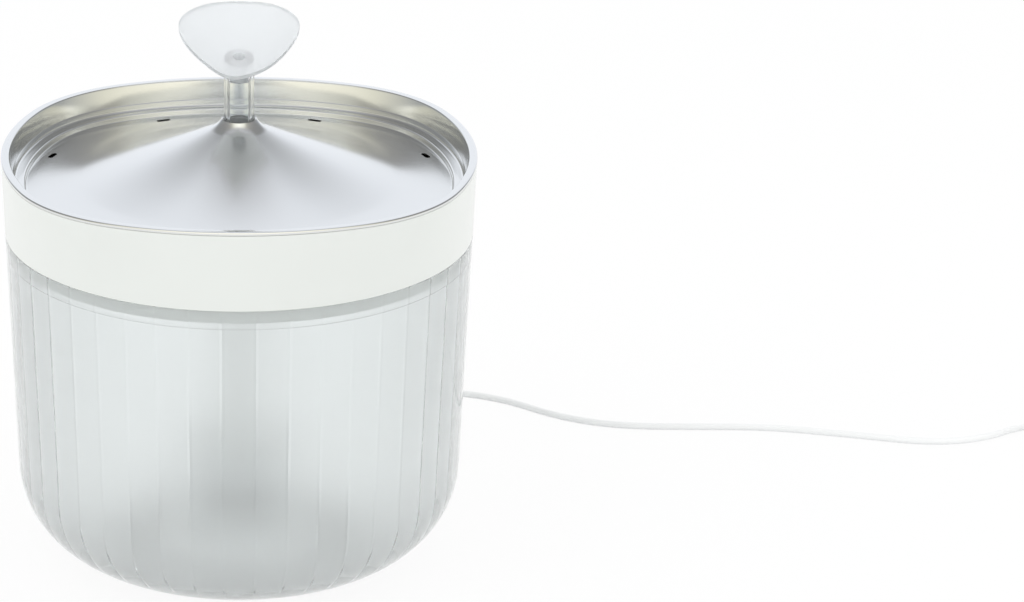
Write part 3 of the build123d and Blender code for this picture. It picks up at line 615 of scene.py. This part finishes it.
def collar_section(settings):
    """Closed section of the collar: outer wall, inner wall, ledge and skirt."""
    skirt_gap, skirt_width = 2.5 * MM, 2.0 * MM
    ledge_width, ledge_height, ledge_thickness = 3.0 * MM, 7.2 * MM, 1.6 * MM
    edge, inner_edge, play = 0.35 * MM, 0.2 * MM, 0.5 * MM
    rim, top, low = BOWL_HIGH.z, COLLAR_HIGH.z, COLLAR_LOW.z
    foot, head = BOWL_HIGH.x, COLLAR_HIGH.x
    skirt_out = foot - skirt_gap
    skirt_in = skirt_out - skirt_width
    ledge_in = skirt_in - ledge_width
    ledge_top = rim + ledge_height
    ledge_low = ledge_top - ledge_thickness
    share = (ledge_top - rim) / (top - rim)
    wall_there = foot - settings.wall + share * (head - foot)
    line = [(skirt_out, rim), (foot, rim), (head, top), (head - settings.wall, top),
            (wall_there, ledge_top), (ledge_in, ledge_top), (ledge_in, ledge_low),
            (skirt_in, ledge_low), (skirt_in, low), (skirt_out, low), (skirt_out, rim)]
    line = rounded(line, [edge, edge, edge, inner_edge, 0, 0, 0, edge, edge])
    # Only the wall turns squared on its way up; what holds the round deck stays round.
    wall_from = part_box("filter_deck")[1].x + play
    return [(x, z, max(0.0, (z - rim) / (top - rim)) if x > wall_from and z >= rim else 0.0)
            for x, z in line[:-1]]


def divided(section, longest, parts):
    """The closed section with each rise over this length cut into equal parts."""
    result = []
    for point, following in zip(section, section[1:] + section[:1]):
        result.append(point)
        if abs(following[1] - point[1]) > longest:
            result += [tuple(a + (b - a) * (i / parts) for a, b in zip(point, following))
                       for i in range(1, parts)]
    return result


class FOUNTAIN_OT_collar(bpy.types.Operator):
    """Build the white collar that goes from round at the bowl to squared at the tray"""

    bl_idname = "fountain.collar"
    bl_label = "Collar"

    def execute(self, context):
        settings = context.scene.fountain_collar
        section = divided(collar_section(settings), 20 * MM, 8)
        piece = turned("white_collar", section, ROUND_POINTS)
        cut(piece, notch_cutter())
        smooth_by_angle(piece, 35)
        dress(piece, moulded_white_abs(settings.colour))
        finish_piece(piece, "lid", ["collar"])
        finish_node("filter_deck",
                    moulded_plastic("moulded_deck_plastic", linear("#EFEDE8"), 0.45))
        return {"FINISHED"}


def notch_cutter():
    """Arched opening in the collar's foot where the cord's grommet sits."""
    half, height, overlap = 3.2 * MM, 5.2 * MM, 1 * MM
    front, back = 82 * MM, 100 * MM
    low = COLLAR_LOW.z - overlap
    arch = bend((0, BOWL_HIGH.z + height - half), half, 0, 180, 12)
    outline = [(half, low)] + arch + [(-half, low)]
    vertices = [(x, y, z) for y in (front, back) for x, z in outline]
    return make_piece("notch_cutter", vertices, prism_faces(0, len(outline)), smooth=False)


class FOUNTAIN_OT_filter(bpy.types.Operator):
    """Finish the ring-shaped filter cartridge"""

    bl_idname = "fountain.filter"
    bl_label = "Filter"

    def execute(self, context):
        shell = moulded_plastic("moulded_filter_shell", linear("#E9E9E5"), 0.4)
        finish_node("filter_frame", shell)
        finish_node("filter_lid", shell)
        granules = open_cell_foam("carbon_granules", linear("#26272A"), 1.6 * MM)
        finish_node("carbon_pack", granules)
        foam = open_cell_foam("white_filter_foam", linear("#EAEAE2"), 1.0 * MM)
        finish_node("filter_foam", foam)
        return {"FINISHED"}


# ---- Drinking tray ----


BEAD_HEIGHT = 1.6 * MM
BEAD_TOP = COLLAR_HIGH.z + BEAD_HEIGHT


def cone_line(settings, dish):
    """Upper side of the cone from its lip out to the dish floor: three tangent bends."""
    steep, top, foot = settings.lip_slope, settings.flank_top_slope, settings.flank_foot_slope
    run_out = bend((settings.cone_foot, dish + settings.run_out), settings.run_out,
                   270 - foot, 270, 10)
    start = run_out[0]
    flank_head = settings.lip_radius + settings.flare * (sine(steep) - sine(top))
    radius = (start[0] - flank_head) / (sine(top) - sine(foot))
    centre = (start[0] + radius * sine(foot), start[1] + radius * cosine(foot))
    flank = bend(centre, radius, 270 - top, 270 - foot, 20)
    head = flank[0]
    centre = (head[0] + settings.flare * sine(top), head[1] + settings.flare * cosine(top))
    flare = bend(centre, settings.flare, 270 - steep, 270 - top, 14)
    return flare[:-1] + flank[:-1] + run_out


def wall_line(settings, dish):
    """Upper side of the wall as (half width, height), from the dish floor to the bead."""
    riser_foot, riser_head = 0.7 * MM, 0.4 * MM   # how far in the riser leans at its ends
    bead_tuck, bead_drop = 0.1 * MM, 0.7 * MM
    dish_bend, ledge_edge, crease_bend = 0.4 * MM, 0.8 * MM, 0.15 * MM
    head = TRAY_HIGH.x - settings.bead
    crease = (head - settings.wall_lean, BEAD_TOP - settings.crease_drop)
    step = (crease[0] - settings.crease_step, crease[1] - settings.crease_step)
    ledge = step[1] - settings.ledge_bend
    riser = step[0] - settings.ledge_bend - settings.ledge_width
    corners = [(settings.cone_foot, dish), (riser - riser_foot, dish),
               (riser - riser_head, ledge), (step[0], ledge), step, crease,
               (head - bead_tuck, BEAD_TOP - bead_drop)]
    return rounded(corners, [dish_bend, ledge_edge, settings.ledge_bend, 0, crease_bend], 6)


def tray_upper_line(settings):
    """Upper side of the sheet from the lip to the bead, as (half width, height, squareness)."""
    dish = TRAY_LOW.z + settings.sheet
    line = [(x, z, 0.0) for x, z in cone_line(settings, dish)]
    wall = wall_line(settings, dish)
    flat = wall[1][0] - settings.cone_foot
    steps = 6
    line += [(settings.cone_foot + flat * (i / steps), dish, i / steps) for i in range(1, steps)]
    return line + [(x, z, 1.0) for x, z in wall[1:]]


def tray_section(settings):
    """Closed section of the drawn sheet with its rolled bead."""
    bead_lead, bead_return = 0.15 * MM, 0.8 * MM
    inner_bend, outer_bend = 0.55 * MM, 0.8 * MM
    upper = tray_upper_line(settings)
    outer = TRAY_HIGH.x
    low = BEAD_TOP - BEAD_HEIGHT
    inner = outer - settings.bead
    bead = rounded([upper[-1][:2], (inner + bead_lead, BEAD_TOP), (outer, BEAD_TOP), (outer, low),
                    (inner + bead_return, low)], [inner_bend, outer_bend, outer_bend], 6)
    under = []
    for before, point, after in zip(upper[:1] + upper, upper, upper[1:]):
        run = Vector((after[0] - before[0], after[1] - before[1])).normalized()
        under.append((point[0] + run.y * settings.sheet, point[1] - run.x * settings.sheet,
                      point[2]))
    return upper + [(x, z, 1.0) for x, z in bead[1:]] + under[::-1]


def drain_cutter(settings):
    """Slots with round ends in the dish floor, just inside its squared edge."""
    below, above, arc_steps = 1 * MM, 2 * MM, 10
    half_long = (settings.drain_length - settings.drain_width) / 2
    outline = []
    for end, start in ((1, 0), (-1, 180)):
        outline += bend((settings.drain_radius, end * half_long), settings.drain_width / 2,
                        start, start + 180, arc_steps)
    vertices = []
    faces = []
    for slot in range(settings.drains):
        turn = 2 * math.pi * (slot + 0.5) / settings.drains
        faces += prism_faces(len(vertices), len(outline))
        vertices += [(x * math.cos(turn) - y * math.sin(turn),
                      x * math.sin(turn) + y * math.cos(turn), height)
                     for height in (TRAY_LOW.z - below, TRAY_LOW.z + above) for x, y in outline]
    return make_piece("drain_cutter", vertices, faces, smooth=False)


class FOUNTAIN_OT_tray(bpy.types.Operator):
    """Build the squared drinking tray with its bead, stepped wall, dish and flared cone"""

    bl_idname = "fountain.tray"
    bl_label = "Drinking tray"

    def execute(self, context):
        settings = context.scene.fountain_tray
        piece = turned("steel_tray", tray_section(settings), ROUND_POINTS)
        cut(piece, drain_cutter(settings))
        wall = drawn_steel("polished_drawn_steel", settings.colour, settings.wall_roughness,
                           0.5 * MM)
        dish = drawn_steel("satin_drawn_steel", settings.colour, settings.dish_roughness,
                           0.35 * MM)
        dress(piece, wall, dish)
        satin_reach = settings.drain_radius * 1.03
        underside = TRAY_LOW.z + 0.5 * settings.sheet
        for face in piece.data.polygons:
            on_dish = abs(face.normal.z) > 0.5 and face.center.z > underside
            radius = math.hypot(face.center.x, face.center.y)
            face.material_index = 1 if on_dish and radius < satin_reach else 0
        smooth_by_angle(piece, 40)
        finish_piece(piece, "tray", ["drinking_tray"])
        finish_node("tray_bush", soft_rubber("moulded_bush_silicone", linear("#E4E5E2")))
        return {"FINISHED"}


# ---- Spout ----


class FOUNTAIN_OT_spout(bpy.types.Operator):
    """Finish the clear stem and the leaf-shaped spout"""

    bl_idname = "fountain.spout"
    bl_label = "Spout"

    def execute(self, context):
        settings = context.scene.fountain_spout
        stem = clear_acrylic("polished_clear_stem", settings.colour, 0.02, 0.97)
        leaf = clear_acrylic("satin_clear_leaf", settings.leaf_colour, 0.3, 0.45)
        for name, material in (("spout_stem", stem), ("leaf_spout", leaf)):
            finish_node(name, material)
            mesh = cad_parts[name].data
            mesh.polygons.foreach_set("use_smooth", [True] * len(mesh.polygons))
        return {"FINISHED"}


# ---- Pump ----


class FOUNTAIN_OT_pump(bpy.types.Operator):
    """Finish the pump, its rotor and its motor"""

    bl_idname = "fountain.pump"
    bl_label = "Pump"

    def execute(self, context):
        housing = moulded_plastic("moulded_pump_housing", linear("#E6E9EA"), 0.4)
        for name in ("pump_body", "volute_cover", "back_cover", "intake_cap"):
            finish_node(name, housing)
        finish_node("flow_slider", moulded_plastic("moulded_slider", linear("#D9D8D3"), 0.4))
        finish_node("intake_foam", open_cell_foam("black_sponge", linear("#3A3B3D"), 1.2 * MM))
        rotor = moulded_plastic("moulded_impeller", linear("#E2E4E3"), 0.3)
        finish_node("impeller", rotor)
        finish_node("shaft_bushes", rotor)
        finish_node("rotor_magnet", plain_metal("sintered_ferrite", linear("#4A4B4E"), 0.55))
        finish_node("impeller_shaft", plain_metal("ground_shaft_steel", linear("#C9CACB"), 0.2))
        finish_node("stator_core", plain_metal("stamped_laminations", linear("#85888C"), 0.4))
        finish_node("stator_coils", plain_metal("enamelled_copper", linear("#C0764A"), 0.35))
        finish_node("driver_board", moulded_plastic("glass_fibre_board", linear("#3E7A55"), 0.5))
        finish_node("cover_seal", soft_rubber("seal_silicone", linear("#3B3B3C")))
        riser = moulded_plastic("extruded_polypropylene", linear("#E8EAE9"), 0.3)
        finish_node("riser_tube", riser)
        return {"FINISHED"}


# ---- Cord ----

# The cord's route from the grommet down to the floor and out to the coil, in metres.
EXIT_Z = 139.9 * MM
CORD_EXIT = (0, BOWL_HIGH.y, EXIT_Z)
FLOOR_Z = 1.45 * MM
CORD_ROUTE = [
    CORD_EXIT,
    (0, 0.1155, EXIT_Z),
    (0.001, 0.123, 0.128),
    (0.004, 0.129, 0.104),
    (0.008, 0.132, 0.067),
    (0.014, 0.137, 0.033),
    (0.024, 0.145, 0.011),
    (0.041, 0.152, FLOOR_Z),
    (0.065, 0.1575, FLOOR_Z),
    (0.094, 0.157, FLOOR_Z),
    (0.118, 0.148, FLOOR_Z),
    (0.140, 0.128, FLOOR_Z),
    (0.166, 0.1173, FLOOR_Z),
    (0.200, 0.1164, FLOOR_Z),
    (0.232, 0.1162, FLOOR_Z),
    (0.268, 0.1075, FLOOR_Z),
    (0.300, 0.0986, FLOOR_Z),
    (0.325, 0.1032, FLOOR_Z),
    (0.344, 0.1174, FLOOR_Z + 0.3 * MM),
]
COIL_CENTRE = (0.378, 0.101)
COIL_RADII = (14.3 * MM, 17.2 * MM, 20.1 * MM)
COIL_LAYERS = 3
TIE_THICKNESS = 0.8 * MM
TAIL_ROUTE = [
    (0.401, 0.063, 4.1 * MM),
    (0.401, 0.053, 4.1 * MM),
]


def coil_turns(diameter):
    """Nine turns: in, out and in again, one layer on the other, a diameter apart."""
    points = []
    per_turn = 16
    steady = 0.75   # share of a turn before it moves over to the next ring or layer
    order = [(layer, ring) for layer in range(COIL_LAYERS)
             for ring in ((2, 1, 0) if layer % 2 == 0 else (0, 1, 2))]
    for (layer, ring), following in zip(order, order[1:] + order[-1:]):
        for i in range(per_turn):
            t = i / per_turn
            blend = max(0.0, (t - steady) / (1 - steady))
            radius = COIL_RADII[ring] + (COIL_RADII[following[1]] - COIL_RADII[ring]) * blend
            level = layer + (following[0] - layer) * blend
            angle = math.pi / 2 - 2 * math.pi * t
            points.append((COIL_CENTRE[0] + radius * math.cos(angle),
                           COIL_CENTRE[1] + radius * math.sin(angle),
                           TIE_THICKNESS + diameter * (level + 0.5)))
    return points


class FOUNTAIN_OT_cord(bpy.types.Operator):
    """Build the thin white cord on its route, with its coil, and finish what is on it"""

    bl_idname = "fountain.cord"
    bl_label = "Cord"

    def execute(self, context):
        settings = context.scene.fountain_cord
        sheath = soft_rubber("extruded_white_pvc", settings.colour, 0.42)
        points = CORD_ROUTE + coil_turns(settings.diameter) + TAIL_ROUTE
        curve = bpy.data.curves.new("power_cord_line", "CURVE")
        curve.dimensions = "3D"
        curve.bevel_depth = settings.diameter / 2
        curve.bevel_resolution = 6
        curve.resolution_u = 8
        curve.use_fill_caps = True
        spline = curve.splines.new("NURBS")
        spline.points.add(len(points) - 1)
        for point, place_at in zip(spline.points, points):
            point.co = (*place_at, 1)
        spline.order_u = 3
        spline.use_endpoint_u = True
        cord = bpy.data.objects.new("white_cord", curve)
        context.scene.collection.objects.link(cord)
        curve.materials.append(sheath)
        finish_piece(cord, "root", ["power_cord", "cord_coil", "cord_tail"])
        plug = soft_rubber("moulded_white_pvc", settings.colour, 0.35)
        for name in ("cable_grommet", "usb_plug_body", "pump_lead"):
            finish_node(name, plug)
        finish_node("cord_tie", soft_rubber("tie_rubber", linear("#3A3B3D")))
        finish_node("usb_plug_shell", plain_metal("nickel_plated_shell", linear("#D5D6D7"), 0.22))
        finish_node("usb_plug_tongue", moulded_plastic("plug_insulator", linear("#F0F0EE"), 0.4))
        return {"FINISHED"}


# ---- Stage ----


PICTURE_WIDTH = 1024
SENSOR_WIDTH = 36       # millimetres, as the lens
LAMP_SIZE = 1.2
LAMP_TARGET = (0, 0, 0.1)
FLOOR_REACH = 6.0
FLOOR_WHITE = 0.92      # share of plain white in the floor where it is seen
WHITE = (1, 1, 1, 1)

# What stands round the fountain in the studio, by degrees from the back, alike on both sides.
LOW_ROUND = ((0, "#D2D5DA"), (26, "#CFD2D8"), (34, "#9EA2A6"), (45, "#808386"),
             (80, "#8A8C8C"), (120, "#C6C4B6"), (180, "#F4F0E0"))
MIDDLE_ROUND = ((0, "#CED1D7"), (17, "#CED1D7"), (21, "#C0C3C9"), (26, "#A5A7AB"),
                (31, "#8D8F92"), (37, "#777879"), (75, "#787878"), (107, "#878684"),
                (122, "#98978F"), (148, "#D8D7CD"), (180, "#ECEBE3"))
HIGH_BAND = "#9B9CA0"
OVERHEAD = "#B3B4B8"


class FOUNTAIN_OT_stage(bpy.types.Operator):
    """Set up the pale floor, the soft lights, the world and the camera"""

    bl_idname = "fountain.stage"
    bl_label = "Stage"

    def execute(self, context):
        settings = context.scene.fountain_stage
        make_floor(settings)
        make_world(context.scene, settings)
        add_lamp("key_lamp", (-1.1, -0.9, 1.6), settings.key_power)
        add_lamp("fill_lamp", (1.4, -0.5, 1.1), settings.fill_power)
        data = bpy.data.cameras.new("camera")
        data.lens = settings.lens
        data.sensor_width = SENSOR_WIDTH
        data.shift_x = (PICTURE_WIDTH / 2 - settings.axis_pixel) / PICTURE_WIDTH
        data.clip_end = 50
        camera = bpy.data.objects.new("camera", data)
        camera.location = (0, -settings.camera_distance, settings.camera_height)
        camera.rotation_euler = (math.radians(90 - settings.camera_tilt), 0, 0)
        context.scene.collection.objects.link(camera)
        context.scene.camera = camera
        context.scene.view_settings.view_transform = "Standard"
        return {"FINISHED"}


def add_lamp(name, location, power):
    """Large square lamp that looks at the fountain and isn't mirrored in its gloss."""
    data = bpy.data.lights.new(name, "AREA")
    data.shape = "SQUARE"
    data.size = LAMP_SIZE
    data.energy = power
    lamp = bpy.data.objects.new(name, data)
    lamp.visible_glossy = False
    lamp.location = location
    aim = Vector(LAMP_TARGET) - Vector(location)
    lamp.rotation_euler = aim.to_track_quat("-Z", "Y").to_euler()
    bpy.context.scene.collection.objects.link(lamp)


def make_floor(settings):
    """Pale floor: mostly white where it is seen, with the object's soft shadow kept."""
    corners = [(-FLOOR_REACH, -FLOOR_REACH, 0), (FLOOR_REACH, -FLOOR_REACH, 0),
               (FLOOR_REACH, FLOOR_REACH, 0), (-FLOOR_REACH, FLOOR_REACH, 0)]
    floor = make_piece("floor", corners, [[0, 1, 2, 3]], smooth=False)
    material, tree, shader = new_material("pale_floor", settings.floor_colour, Roughness=0.8)
    path = add_node(tree, "ShaderNodeLightPath").outputs
    seen = add_node(tree, "ShaderNodeMath", {0: path["Is Camera Ray"], 1: path["Is Glossy Ray"]},
                    operation="MAXIMUM")
    seen = add_node(tree, "ShaderNodeMath", {0: seen.outputs[0], 1: path["Is Transmission Ray"]},
                    operation="MAXIMUM")
    share = add_node(tree, "ShaderNodeMath", {0: seen.outputs[0], 1: FLOOR_WHITE},
                     operation="MULTIPLY")
    white = add_node(tree, "ShaderNodeEmission", {"Color": WHITE, "Strength": 1.0})
    mixed = add_node(tree, "ShaderNodeMixShader",
                     {0: share.outputs[0], 1: shader.outputs[0], 2: white.outputs[0]})
    tree.links.new(mixed.outputs[0], tree.nodes["Material Output"].inputs["Surface"])
    dress(floor, material)


def both_sides(stops):
    """Colour stops all round the fountain, from those of one side by degrees from the back."""
    whole = [(-degrees, code) for degrees, code in reversed(stops) if degrees] + list(stops)
    return [(0.5 + degrees / 360, linear(code)) for degrees, code in whole]


def make_world(scene, settings):
    """White where it is seen, a studio where the gloss mirrors it, and even soft light."""
    world = bpy.data.worlds.new("studio")
    scene.world = world
    world.use_nodes = True
    tree = world.node_tree
    tree.nodes.clear()
    direction = add_node(tree, "ShaderNodeTexCoord").outputs["Generated"]
    parts, angle = around_axis(tree, direction)
    turn = add_node(tree, "ShaderNodeMapRange",
                    {"Value": angle, "From Min": -math.pi, "From Max": math.pi}).outputs["Result"]
    studio, middle = [add_node(tree, "ShaderNodeValToRGB", {"Fac": turn},
                               stops=both_sides(stops)).outputs["Color"]
                      for stops in (LOW_ROUND, MIDDLE_ROUND)]
    # Degrees above the horizon between which each next band takes over.
    for start, end, colour in ((8, 24, middle), (54, 65, linear(HIGH_BAND)),
                               (66, 78, linear(OVERHEAD))):
        rise = add_node(tree, "ShaderNodeMapRange", {"Value": parts["Z"],
                                                     "From Min": sine(start),
                                                     "From Max": sine(end)})
        studio = add_node(tree, "ShaderNodeMixRGB",
                          {"Fac": rise.outputs["Result"], "Color1": studio,
                           "Color2": colour}).outputs["Color"]
    path = add_node(tree, "ShaderNodeLightPath").outputs
    level = add_node(tree, "ShaderNodeMapRange", {"Value": path["Glossy Depth"], "To Min": 1.0,
                                                  "To Max": settings.mirrored_white})
    through = add_node(tree, "ShaderNodeMath", {0: path["Is Camera Ray"],
                                                1: path["Is Transmission Ray"]},
                       operation="MAXIMUM")
    soft, mirrored, seen = [
        add_node(tree, "ShaderNodeBackground", {"Color": colour, "Strength": strength}).outputs[0]
        for colour, strength in ((WHITE, settings.world_strength),
                                 (studio, settings.mirror_strength),
                                 (WHITE, level.outputs["Result"]))]
    gloss = add_node(tree, "ShaderNodeMixShader",
                     {0: path["Is Glossy Ray"], 1: soft, 2: mirrored})
    last = add_node(tree, "ShaderNodeMixShader",
                    {0: through.outputs[0], 1: gloss.outputs[0], 2: seen})
    add_node(tree, "ShaderNodeOutputWorld", {"Surface": last.outputs[0]})


# ---- Panel and registration ----


class FOUNTAIN_PT_panel(bpy.types.Panel):
    """Lists the steps that build the fountain, with the sizes and colours behind them"""

    bl_label = "Fountain"
    bl_idname = "FOUNTAIN_PT_panel"
    bl_space_type = "VIEW_3D"
    bl_region_type = "UI"
    bl_category = "Fountain"

    def draw(self, context):
        layout = self.layout
        for group, operator in STEPS:
            layout.operator(operator.bl_idname)
            if group is None:
                continue
            settings = getattr(context.scene, group)
            for key in settings.__annotations__:
                layout.prop(settings, key)


GROUPS = {
    "fountain_stage": FountainStage,
    "fountain_bowl": FountainBowl,
    "fountain_collar": FountainCollar,
    "fountain_tray": FountainTray,
    "fountain_spout": FountainSpout,
    "fountain_cord": FountainCord,
}
STEPS = [
    ("fountain_stage", FOUNTAIN_OT_stage),
    ("fountain_cord", FOUNTAIN_OT_cord),
    ("fountain_bowl", FOUNTAIN_OT_bowl),
    ("fountain_collar", FOUNTAIN_OT_collar),
    (None, FOUNTAIN_OT_filter),
    ("fountain_tray", FOUNTAIN_OT_tray),
    ("fountain_spout", FOUNTAIN_OT_spout),
    (None, FOUNTAIN_OT_pump),
]


def register():
    for name, group in GROUPS.items():
        bpy.utils.register_class(group)
        setattr(bpy.types.Scene, name, PointerProperty(type=group))
    for _, operator in STEPS:
        bpy.utils.register_class(operator)
    bpy.utils.register_class(FOUNTAIN_PT_panel)


def unregister():
    bpy.utils.unregister_class(FOUNTAIN_PT_panel)
    for _, operator in reversed(STEPS):
        bpy.utils.unregister_class(operator)
    for name, group in reversed(GROUPS.items()):
        delattr(bpy.types.Scene, name)
        bpy.utils.unregister_class(group)


def main():
    register()
    for _, operator in STEPS:
        group, step = operator.bl_idname.split(".")
        getattr(getattr(bpy.ops, group), step)()


if __name__ == "__main__":
    main()
